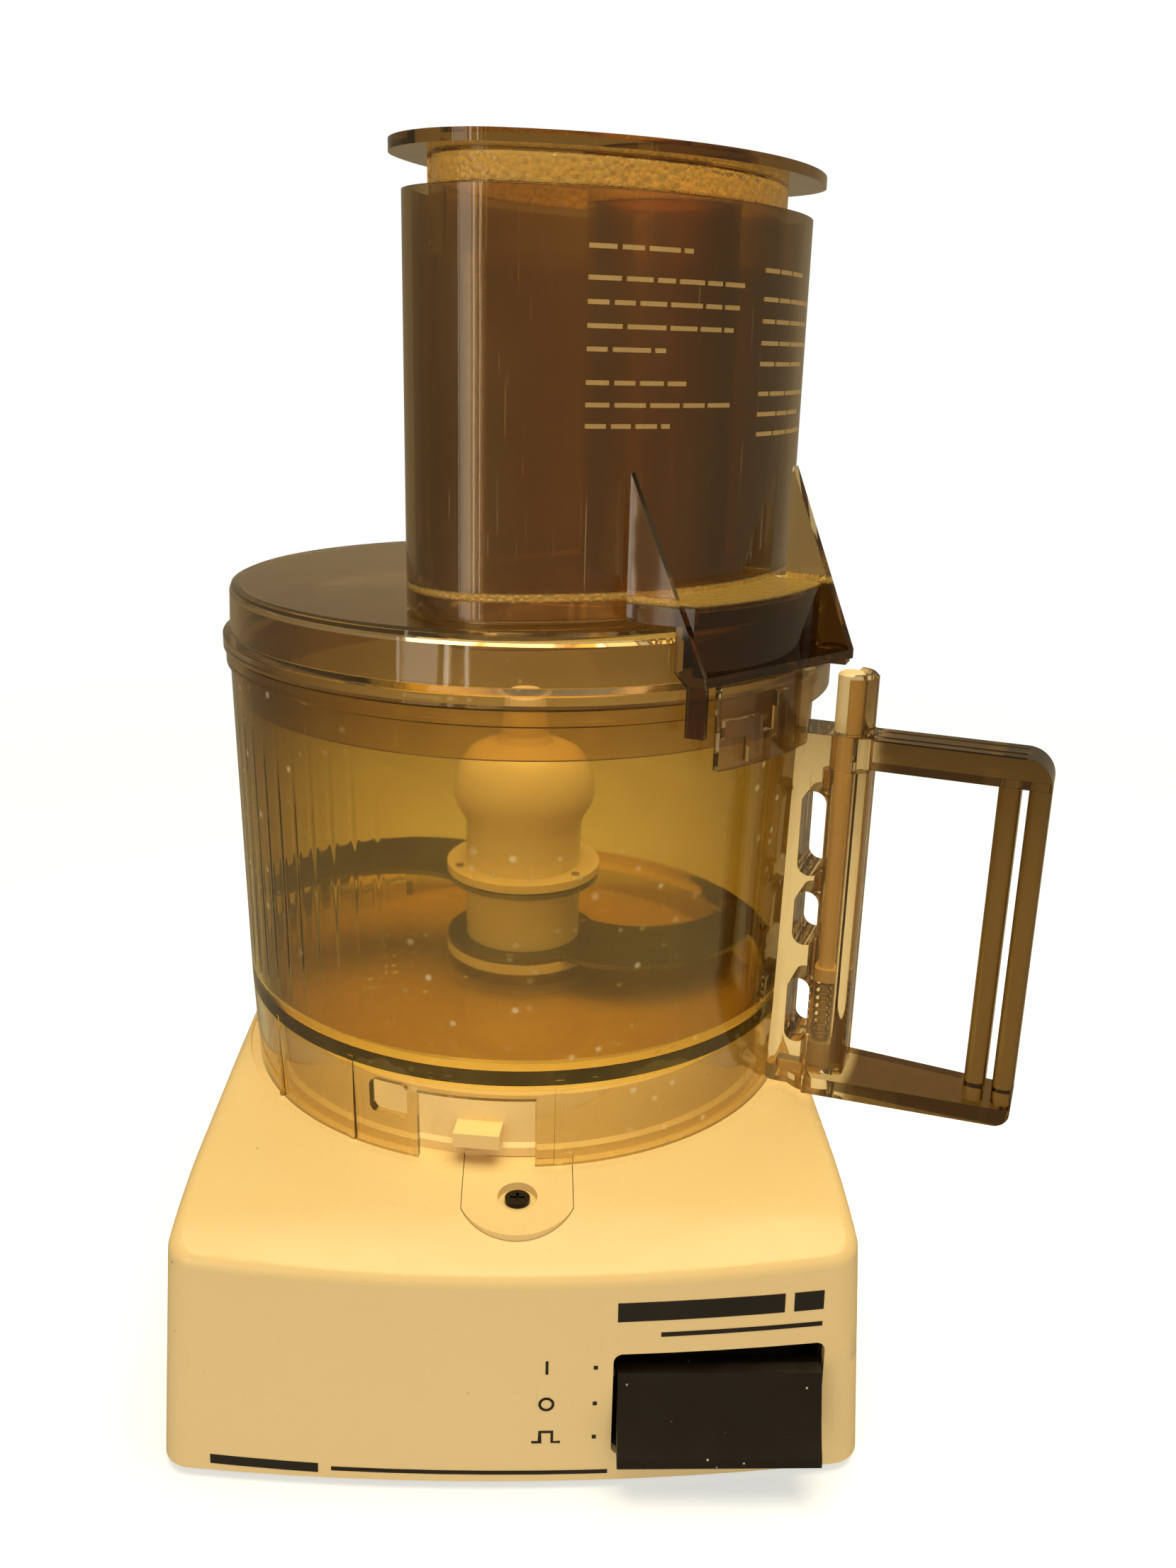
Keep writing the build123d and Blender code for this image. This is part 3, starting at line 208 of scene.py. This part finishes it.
def amber(name, tint, clear=0.985, rough=0.02, fog=0.03, spots=0.0, flutes=False, stipple=None, wave=0.0001, thick=None, skirt=None, edge=None, shelf_shade=None, rim=None, floor=None):
    """Smoky clear plastic: tint is what one wall lets through, the rest is light haze, smears, scratches and spots.
    thick is (tint, r0, r1): the tint of the solid bars beyond that distance from the drive axis.
    skirt is the tint of the thinner wall below the bowl's floor. edge is what is left where the wall is met at a
    grazing angle and its path is longest. shelf is (tint, r0, r1, z1): painted shade, a dark tint on the thick piece
    beyond r1 and below z1 that stands in for the shade on the ledge's front edge.
    rim is (tint, z0): the tint of the flange above z0. floor is (tint, z1): painted light, a lighter golden tint on the
    bowl's floor, whose top is below z1, that stands in for the floor lit from above."""
    g = Mat(name)
    cloud = g.span(g.noise(14, 4, 0.6), 0.35, 0.75)
    col = g.mix(g.math("MULTIPLY", cloud, 0.45), tint, tuple(c ** 1.3 for c in tint))
    if skirt:
        col = g.mix(g.span(g.axis(2), 0.0985, 0.0993, 1, 0), col, skirt)
    if thick:
        dx, dy = g.math("SUBTRACT", g.axis(0), AX), g.math("SUBTRACT", g.axis(1), AY)
        rad = g.math("SQRT", g.math("ADD", g.math("MULTIPLY", dx, dx), g.math("MULTIPLY", dy, dy)))
        col = g.mix(g.span(rad, thick[1], thick[2]), col, thick[0])
    # painted light: the bowl's floor gets a lighter golden tint that stands in for the light falling on it from above
    if floor:
        painted_floor_light = g.math("MULTIPLY", g.span(g.axis(2), 0.0990, 0.0993), g.span(g.axis(2), floor[1], floor[1] + 0.0004, 1, 0))
        col = g.mix(painted_floor_light, col, floor[0])
    if rim:
        col = g.mix(g.span(g.axis(2), rim[1] - 0.0003, rim[1]), col, rim[0])
    # painted shade: the ledge's front edge below its stippled top is tinted dark to stand in for the shade that falls
    # there
    if shelf_shade:
        dx, dy = g.math("SUBTRACT", g.axis(0), AX), g.math("SUBTRACT", g.axis(1), AY)
        rad = g.math("SQRT", g.math("ADD", g.math("MULTIPLY", dx, dx), g.math("MULTIPLY", dy, dy)))
        low = g.span(g.axis(2), shelf_shade[3] - 0.0004, shelf_shade[3], 1, 0)
        col = g.mix(g.math("MULTIPLY", g.span(rad, shelf_shade[1], shelf_shade[2]), low), col, shelf_shade[0])
    if edge:
        face = g.node("ShaderNodeLayerWeight").outputs["Facing"]
        deep = g.node("ShaderNodeMix", data_type="RGBA", blend_type="MULTIPLY")
        deep.inputs[0].default_value = 1.0
        g.put(deep.inputs[6], col)
        g.put(deep.inputs[7], g.mix(g.span(face, 0.06, 0.60), (1.0, 1.0, 1.0), edge))
        col = deep.outputs[2]
    scr = g.scratches(1000, 0.5)
    smear = g.span(g.noise(30, 4, 0.6, co=g.stretched((1, 1, 0.3))), 0.42, 0.75)
    haze = g.math("MULTIPLY", smear, fog)
    haze = g.math("ADD", haze, g.math("MULTIPLY", scr, 0.20))
    if spots:
        d, v = g.cell_value(180)
        ring = g.math("MULTIPLY", g.span(d, 0.12, 0.24, 1, 0), g.span(v, 0.55, 0.60))
        where = g.span(g.noise(14, 2), 0.46, 0.56)
        spot = g.math("MULTIPLY", ring, where)
        haze = g.math("ADD", haze, g.math("MULTIPLY", spot, spots))
        col = g.mix(g.math("MULTIPLY", spot, 0.6), col, (0.93, 0.86, 0.70))
    g.set("Base Color", col)
    g.set("Transmission Weight", g.math("SUBTRACT", clear, g.math("MINIMUM", haze, 0.6)))
    r = g.math("ADD", g.math("MULTIPLY", smear, 0.05), rough)
    r = g.math("ADD", r, g.math("MULTIPLY", scr, 0.20))
    h = g.math("MULTIPLY", g.noise(45, 2), 1.0)
    h = g.math("SUBTRACT", h, g.math("MULTIPLY", scr, 0.15))
    nrm = g.bump(h, wave, 0.6)
    if flutes:
        ang = g.math("ARCTAN2", g.math("SUBTRACT", g.axis(1), AY), g.math("SUBTRACT", g.axis(0), AX))
        wavy = g.math("SINE", g.math("MULTIPLY", ang, 74.0))
        left = g.math("MULTIPLY", g.span(ang, -3.0, -2.85), g.span(ang, -2.05, -1.9, 1, 0))
        tall = g.math("MULTIPLY", g.span(g.axis(2), 0.108, 0.125), g.span(g.axis(2), 0.170, 0.195, 1, 0))
        ridge = g.math("MULTIPLY", g.math("POWER", g.span(wavy, 0, 1), 3.0), g.math("MULTIPLY", left, tall))
        nrm = g.bump(ridge, 0.00012, 0.7, nrm)
    if stipple:
        z0, z1, size = stipple
        zone = g.math("MULTIPLY", g.span(g.axis(2), z0, z0 + 0.0006), g.span(g.axis(2), z1 - 0.0006, z1, 1, 0))
        grit = g.math("MULTIPLY", g.math("SUBTRACT", 1.0, g.cells(size)), zone)
        nrm = g.bump(grit, 0.0006, 0.8, nrm)
        r = g.math("ADD", r, g.math("MULTIPLY", zone, 0.12))
        col2 = g.mix(g.math("MULTIPLY", zone, 0.8), col, (0.98, 0.66, 0.16))
        g.set("Base Color", col2)
        g.set("Transmission Weight", g.math("SUBTRACT", g.math("SUBTRACT", clear, g.math("MINIMUM", haze, 0.6)), g.math("MULTIPLY", zone, 0.30)))
    g.set("Roughness", r)
    g.set("Normal", nrm)
    g.p.inputs["IOR"].default_value = 1.56
    return g.m


def metal(name, tint, rough=0.25, brush=(1, 1, 1), grime=0.15):
    g = Mat(name)
    streak = g.noise(420, 4, 0.6, co=g.stretched(brush))
    stain = g.span(g.noise(40, 4, 0.6), 0.45, 0.75)
    col = g.mix(g.math("MULTIPLY", stain, grime), tint, tuple(c * 0.45 for c in tint))
    g.set("Base Color", col)
    g.set("Roughness", g.span(streak, 0.3, 0.7, rough - 0.06, rough + 0.12))
    g.set("Normal", g.bump(streak, 0.00002, 0.5))
    g.set("Metallic", 1.0)
    return g.m


def moulded(name, tint, rough=0.45, grain=900, depth=0.00003, dust=0.0, vary=0.25):
    g = Mat(name)
    cloud = g.noise(28, 4, 0.6)
    col = g.mix(g.span(cloud, 0.35, 0.7, 0, vary), tint, tuple(min(1, c * 1.7 + 0.01) for c in tint))
    if dust:
        d, v = g.cell_value(420)
        dot = g.math("MULTIPLY", g.span(d, 0.06, 0.16, 1, 0), g.span(v, 0.90, 0.94))
        patch = g.span(g.noise(60, 2), 0.48, 0.60)
        col = g.mix(g.math("MULTIPLY", g.math("MULTIPLY", dot, patch), dust), col, (0.75, 0.70, 0.60))
    g.set("Base Color", col)
    g.set("Roughness", g.span(g.noise(90, 4), 0.3, 0.75, rough - 0.08, rough + 0.14))
    g.set("Normal", g.bump(g.noise(grain, 2), depth, 0.6))
    return g.m


def windings(name):
    g = Mat(name)
    wire = g.math("SINE", g.math("MULTIPLY", g.axis(2), 5200.0))
    col = g.mix(g.span(g.noise(60, 4), 0.3, 0.7), (0.62, 0.26, 0.09), (0.32, 0.11, 0.03))
    g.set("Base Color", col)
    g.set("Roughness", g.span(wire, -1, 1, 0.25, 0.45))
    g.set("Metallic", 0.85)
    g.set("Normal", g.bump(wire, 0.00025, 0.8))
    return g.m


def laminations(name):
    g = Mat(name)
    leaf = g.math("SINE", g.math("MULTIPLY", g.axis(2), 9000.0))
    rust = g.span(g.noise(70, 5, 0.7), 0.55, 0.72)
    g.set("Base Color", g.mix(g.math("MULTIPLY", rust, 0.5), (0.42, 0.41, 0.40), (0.30, 0.13, 0.05)))
    g.set("Roughness", g.span(leaf, -1, 1, 0.35, 0.55))
    g.set("Metallic", 0.9)
    g.set("Normal", g.bump(leaf, 0.0001, 0.6))
    return g.m


BOWL_TINT = (0.70, 0.52, 0.17)
SKIRT_TINT = (0.90, 0.77, 0.46)
BAR_TINT = (0.13, 0.065, 0.012)
LID_TINT = (0.78, 0.62, 0.38)
SLEEVE_TINT = (0.80, 0.63, 0.36)
PUSH_TINT = (0.84, 0.67, 0.40)

FLOOR_TOP = 0.1045

M = {
    "housing_cream": cream("housing_cream"),
    "seat_cream": cream("seat_cream", rough=0.27, specks=False),
    "rod_cream": cream("rod_cream", (0.88, 0.72, 0.42), rough=0.35, specks=False),
    "hub_cream": cream("hub_cream", (0.86, 0.74, 0.50), rough=0.33, specks=False),
    "plate_grey": moulded("plate_grey", (0.20, 0.19, 0.17), 0.5),
    "rubber_black": moulded("rubber_black", (0.020, 0.019, 0.018), 0.7, 500, 0.00008),
    "screw_steel": metal("screw_steel", (0.55, 0.53, 0.50), 0.3),
    "screw_black": metal("screw_black", (0.03, 0.028, 0.026), 0.35),
    "shaft_steel": metal("shaft_steel", (0.60, 0.58, 0.55), 0.22, (1, 1, 12)),
    "core_steel": laminations("core_steel"),
    "winding_copper": windings("winding_copper"),
    "bell_aluminium": metal("bell_aluminium", (0.68, 0.67, 0.65), 0.42, grime=0.3),
    "fan_plastic": moulded("fan_plastic", (0.12, 0.10, 0.08), 0.5),
    "capacitor_case": metal("capacitor_case", (0.58, 0.58, 0.58), 0.3),
    "switch_black": moulded("switch_black", (0.012, 0.010, 0.008), 0.45),
    "paddle_brown": moulded("paddle_brown", (0.007, 0.0035, 0.0012), 0.37, 700, 0.00002, dust=0.9),
    "blade_steel": metal("blade_steel", (0.26, 0.24, 0.22), 0.30, (1, 12, 1), 0.35),
    # bowl: its floor tint is painted light, a lighter golden tint for the floor lit from above
    "bowl_amber": amber("bowl_amber", BOWL_TINT, 0.975, 0.03, 0.06, spots=0.40, flutes=True, skirt=SKIRT_TINT, edge=(0.40, 0.33, 0.20), floor=((0.90, 0.75, 0.23), FLOOR_TOP)),
    "handle_amber": amber("handle_amber", (0.64, 0.46, 0.20), 0.985, 0.03, 0.03, wave=0.0002, thick=(BAR_TINT, 0.109, 0.112), edge=(0.55, 0.46, 0.32)),
    "cover_amber": amber("cover_amber", LID_TINT, 0.985, 0.03, 0.03, edge=(0.52, 0.45, 0.33)),
    # sleeve: its last tuple is painted shade, a dark tint on the ledge's front edge
    "sleeve_amber": amber("sleeve_amber", SLEEVE_TINT, 0.993, 0.025, 0.02, stipple=(0.2308, 0.2330, 700),
                          edge=(0.24, 0.18, 0.10), shelf_shade=((0.17, 0.08, 0.017), 0.0880, 0.0892, 0.2330)),
    "pusher_amber": amber("pusher_amber", PUSH_TINT, 0.993, 0.025, 0.02, stipple=(0.3285, 0.3352, 620), edge=(0.45, 0.37, 0.26), rim=((0.50, 0.31, 0.09), 0.3352)),
    "plug_grey": moulded("plug_grey", (0.42, 0.34, 0.22), 0.55, 300, 0.0002, vary=0.8),
    "spring_steel": metal("spring_steel", (0.50, 0.47, 0.42), 0.3),
}

USES = {
    "housing_cream": ["base_housing"],
    "seat_cream": ["bowl_seat", "shaft_sheath", "interlock_plunger", "interlock_bracket"],
    "plate_grey": ["bottom_plate", "capacitor_clamp"],
    "rubber_black": ["rubber_feet", "motor_grommets", "cord_gland"],
    "screw_steel": ["bottom_screws", "motor_bolts", "motor_screws", "blade_rivets", "paddle_pin"],
    "screw_black": ["seat_screws"],
    "shaft_steel": ["motor_shaft", "lower_bearing", "upper_bearing"],
    "core_steel": ["rotor_core", "motor_stator"],
    "winding_copper": ["stator_windings"],
    "bell_aluminium": ["lower_end_bell", "upper_end_bell"],
    "fan_plastic": ["cooling_fan"],
    "capacitor_case": ["run_capacitor"],
    "switch_black": ["switch_frame", "control_switch", "interlock_switch"],
    "paddle_brown": ["control_paddle"],
    "rod_cream": ["actuator_rod"],
    "hub_cream": ["blade_hub"],
    "blade_steel": ["lower_blade", "upper_blade"],
    "bowl_amber": ["work_bowl"],
    "handle_amber": ["bowl_handle"],
    "cover_amber": ["bowl_cover"],
    "sleeve_amber": ["pusher_sleeve"],
    "pusher_amber": ["food_pusher", "small_pusher"],
    "plug_grey": ["rod_guide_plug"],
    "spring_steel": ["actuator_spring"],
}
AMBER = ("work_bowl", "bowl_handle", "bowl_cover", "pusher_sleeve", "food_pusher", "small_pusher")

for key, names in USES.items():
    for n in names:
        me = NODES[n].data
        me.materials.clear()
        me.materials.append(M[key])
left_over = set(NODES) - {n for names in USES.values() for n in names}
assert not left_over, left_over
for n in AMBER:
    NODES[n].visible_shadow = False


# ------------------------------------------------------- printed and raised marks
def ribbon(bm, line, width, place, up, down, closed=False):
    """A band of that width along a 2-D line, laid on the surface that place(a, b, height) gives."""
    n = len(line)
    pairs = []
    for i in range(n):
        p = Vector(line[i])
        a = Vector(line[(i - 1) % n]) if closed or i > 0 else p
        b = Vector(line[(i + 1) % n]) if closed or i < n - 1 else p
        d = (b - a).normalized()
        side = Vector((-d.y, d.x)) * width / 2
        if (p - a).length > 0 and (b - p).length > 0:
            cosine = max(0.5, (p - a).normalized().dot(d))
            side = side / cosine
        pairs.append((p + side, p - side))
    rows = [[bm.verts.new(place(q[0], q[1], h)) for q in pair for h in (up, down)] for pair in pairs]
    steps = range(n) if closed else range(n - 1)
    for i in steps:
        a, b = rows[i], rows[(i + 1) % n]
        bm.faces.new((a[0], b[0], b[2], a[2]))
        bm.faces.new((a[1], a[3], b[3], b[1]))
        bm.faces.new((a[0], a[1], b[1], b[0]))
        bm.faces.new((a[2], b[2], b[3], a[3]))
    if not closed:
        for r in (rows[0], rows[-1]):
            bm.faces.new((r[0], r[2], r[3], r[1]))


def straight(a, b, n=14):
    return [tuple(Vector(a).lerp(Vector(b), k / n)) for k in range(n + 1)]


def finish_mesh(name, bm, mat, body):
    bmesh.ops.recalc_face_normals(bm, faces=bm.faces)
    me = bpy.data.meshes.new(name)
    bm.to_mesh(me)
    bm.free()
    me.materials.append(mat)
    ob = bpy.data.objects.new(name, me)
    scene.collection.objects.link(ob)
    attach(ob, body)
    return ob


def tree_of(node):
    me = NODES[node].data
    return BVHTree.FromPolygons([v.co for v in me.vertices], [list(p.vertices) for p in me.polygons])


house_tree = tree_of("base_housing")


def on_front(x, z, h):
    hit = house_tree.ray_cast(Vector((x / 1000 + AX, -0.4, z / 1000)), Vector((0, 1, 0)))[0]
    return Vector((hit.x, hit.y - h / 1000, hit.z))


def front_marks():
    up, down = 0.10, -0.12
    bm = bmesh.new()
    # position marks for the paddle: a bar for on, a ring for off, a step for momentary, and their dots
    ribbon(bm, straight((8.4, 36.4), (8.4, 40.4), 3), 0.75, on_front, up, down)
    ring = [(8.4 + 1.75 * math.cos(2 * math.pi * k / 28), 27.2 + 1.75 * math.sin(2 * math.pi * k / 28)) for k in range(28)]
    ribbon(bm, ring, 0.7, on_front, up, down, closed=True)
    step = [(4.6, 15.4), (6.8, 15.4), (6.8, 18.6), (10.0, 18.6), (10.0, 15.4), (12.2, 15.4)]
    ribbon(bm, step, 0.7, on_front, up, down)
    for z in (38.2, 27.2, 16.8):
        ribbon(bm, straight((20.6, z), (21.7, z), 2), 1.1, on_front, up, down)
    # plain trim where the maker's panel would be: a heavy bar, a short bar and a fine rule
    ribbon(bm, straight((26.5, 54.6), (70.5, 55.0), 30), 5.6, on_front, up, down)
    ribbon(bm, straight((73.0, 55.0), (81.0, 55.1), 6), 5.6, on_front, up, down)
    ribbon(bm, straight((38.0, 47.6), (81.0, 47.9), 30), 1.3, on_front, up, down)
    # rule along the foot
    ribbon(bm, straight((-81.0, 6.6), (-52.0, 6.0), 20), 2.8, on_front, up, down)
    ribbon(bm, straight((-48.5, 6.0), (25.0, 5.7), 50), 1.2, on_front, up, down)
    ink = moulded("mark_ink", (0.010, 0.008, 0.006), 0.35, 1200, 0.00001, vary=0.5)
    ob = finish_mesh("front_marks", bm, ink, "base")


def sleeve_marks():
    """Plain raised lines on the sleeve's face; their lighter, less clear golden amber is a painted glint."""
    c40, s40 = math.cos(math.radians(40)), math.sin(math.radians(40))

    def on_sleeve(t, z, h):
        b = math.sqrt(91.0 ** 2 - t * t)
        nx, ny = (t * c40 + b * s40) / 91.0, (t * s40 - b * c40) / 91.0
        x = 24 + t * c40 + (b - 53) * s40 + nx * h
        y = -27.5 + t * s40 - (b - 53) * c40 + ny * h
        return Vector((x / 1000 + AX, y / 1000 + AY, z / 1000))

    rng = random.Random(7)
    bm = bmesh.new()
    rows = ((314.8, -38, -11), (307.8, -38, 9), (302.4, -38, 6), (297.0, -38, 4), (291.7, -38, -18), (284.0, -38, -11.5), (278.8, -38, 4), (273.8, -38, -16),
            (312.0, 17, 44), (305.0, 17, 50), (299.6, 17, 49), (294.2, 17, 50), (289.0, 17, 46), (281.5, 17, 50), (276.3, 17, 48), (271.2, 17, 50))
    for z, t0, t1 in rows:
        t = t0
        while t < t1 - 2:
            end = min(t1, t + rng.uniform(4.5, 10.5))
            ribbon(bm, straight((t, z), (end, z), 6), 1.1, on_sleeve, 0.28, -0.4)
            t = end + 1.4
    # painted glint: the lines get a lighter, less clear golden amber that stands in for the glints along their edges
    painted_glint_amber = amber("raised_line_glint_amber", (0.95, 0.74, 0.36), 0.72, 0.12, 0.10)
    ob = finish_mesh("sleeve_raised_lines", bm, painted_glint_amber, "sleeve")
    ob.visible_shadow = False


front_marks()
sleeve_marks()


# ------------------------------------------------------------------- stage
def make_floor():
    bm = bmesh.new()
    rings, spokes = 14, 72
    rows = []
    for i in range(rings + 1):
        rad = 1.6 * (i / rings) ** 1.4
        if i == 0:
            rows.append([bm.verts.new((0, 0, 0))])
        else:
            rows.append([bm.verts.new((rad * math.cos(2 * math.pi * k / spokes), rad * math.sin(2 * math.pi * k / spokes), 0)) for k in range(spokes)])
    for k in range(spokes):
        bm.faces.new((rows[0][0], rows[1][k], rows[1][(k + 1) % spokes]))
    for i in range(1, rings):
        for k in range(spokes):
            bm.faces.new((rows[i][k], rows[i + 1][k], rows[i + 1][(k + 1) % spokes], rows[i][(k + 1) % spokes]))
    me = bpy.data.meshes.new("stage_floor")
    bm.to_mesh(me)
    bm.free()
    ob = bpy.data.objects.new("stage_floor", me)
    scene.collection.objects.link(ob)
    ob.visible_glossy = False
    g = Mat("stage_floor")
    g.set("Base Color", g.mix(g.span(g.noise(5, 3), 0.3, 0.7), (0.78, 0.84, 0.98), (0.76, 0.82, 0.96)))
    g.set("Roughness", 0.85)
    g.p.inputs["Emission Color"].default_value = (0.88, 0.95, 1.0, 1)
    g.p.inputs["Emission Strength"].default_value = 0.48
    ln = g.node("ShaderNodeVectorMath", operation="LENGTH")
    g.put(ln.inputs[0], g.co)
    fade = g.span(ln.outputs["Value"], 0.30, 0.95, smooth=True)
    bounce = g.node("ShaderNodeLightPath").outputs["Is Diffuse Ray"]
    fade = g.math("MAXIMUM", fade, g.math("MULTIPLY", bounce, 0.35))
    clear = g.node("ShaderNodeBsdfTransparent")
    mixer = g.node("ShaderNodeMixShader")
    g.put(mixer.inputs[0], fade)
    g.t.links.new(g.p.outputs[0], mixer.inputs[1])
    g.t.links.new(clear.outputs[0], mixer.inputs[2])
    out = [n for n in g.t.nodes if n.bl_idname == "ShaderNodeOutputMaterial"][0]
    g.t.links.new(mixer.outputs[0], out.inputs[0])
    me.materials.append(g.m)


make_floor()


def area(name, place, aim, size, power, colour):
    li = bpy.data.lights.new(name, "AREA")
    li.shape = "RECTANGLE"
    li.size, li.size_y = size
    li.energy = power
    li.color = colour
    ob = bpy.data.objects.new(name, li)
    scene.collection.objects.link(ob)
    ob.location = place
    ob.rotation_euler = (Vector(aim) - Vector(place)).to_track_quat("-Z", "Y").to_euler()
    return ob


area("top_soft", (0.05, -0.15, 1.35), (0, 0, 0.1), (1.1, 1.1), 16.2, (1.0, 0.87, 0.54))
front = area("front_soft", (0.35, -1.5, 0.75), (0, 0, 0.15), (1.2, 0.9), 3.0, (1.0, 0.88, 0.70))
back = area("back_soft", (0.6, 1.3, 0.9), (0, 0, 0.2), (1.0, 0.8), 4.0, (1.0, 0.86, 0.66))
for lamp in (front, back):
    lamp.visible_glossy = False
    lamp.visible_transmission = False
for k, (turn, wide, power) in enumerate(((0.0, 0.34, 2.3), (0.17, 0.05, 0.8), (0.29, 0.03, 0.5), (-0.14, 0.03, 0.35))):
    a0 = math.radians(232) + turn
    area(f"left_window_{k}", (1.45 * math.cos(a0), 1.45 * math.sin(a0), 0.42), (0, 0, 0.2), (wide, 1.0), power * 0.75, (1.0, 0.92, 0.78))

world = bpy.data.worlds.new("studio")
scene.world = world
world.use_nodes = True
wt = world.node_tree
wt.nodes.clear()
w_out = wt.nodes.new("ShaderNodeOutputWorld")
w_mix = wt.nodes.new("ShaderNodeMixShader")
w_seen = wt.nodes.new("ShaderNodeBackground")
w_fill = wt.nodes.new("ShaderNodeBackground")
w_path = wt.nodes.new("ShaderNodeLightPath")
w_seen.inputs[0].default_value = (1, 1, 1, 1)
w_seen.inputs[1].default_value = 1.0
w_fill.inputs[0].default_value = (1.0, 0.78, 0.46, 1)
w_fill.inputs[1].default_value = 0.30
wt.links.new(w_path.outputs["Is Camera Ray"], w_mix.inputs[0])
wt.links.new(w_fill.outputs[0], w_mix.inputs[1])
wt.links.new(w_seen.outputs[0], w_mix.inputs[2])
wt.links.new(w_mix.outputs[0], w_out.inputs[0])

scene.view_settings.view_transform = "Standard"
scene.view_settings.look = "None"
scene.cycles.max_bounces = 32
scene.cycles.transmission_bounces = 32
scene.cycles.transparent_max_bounces = 32
scene.cycles.glossy_bounces = 6
scene.cycles.diffuse_bounces = 3
scene.cycles.caustics_refractive = True
scene.cycles.caustics_reflective = False
scene.cycles.sample_clamp_indirect = 6.0
scene.cycles.use_denoising = True
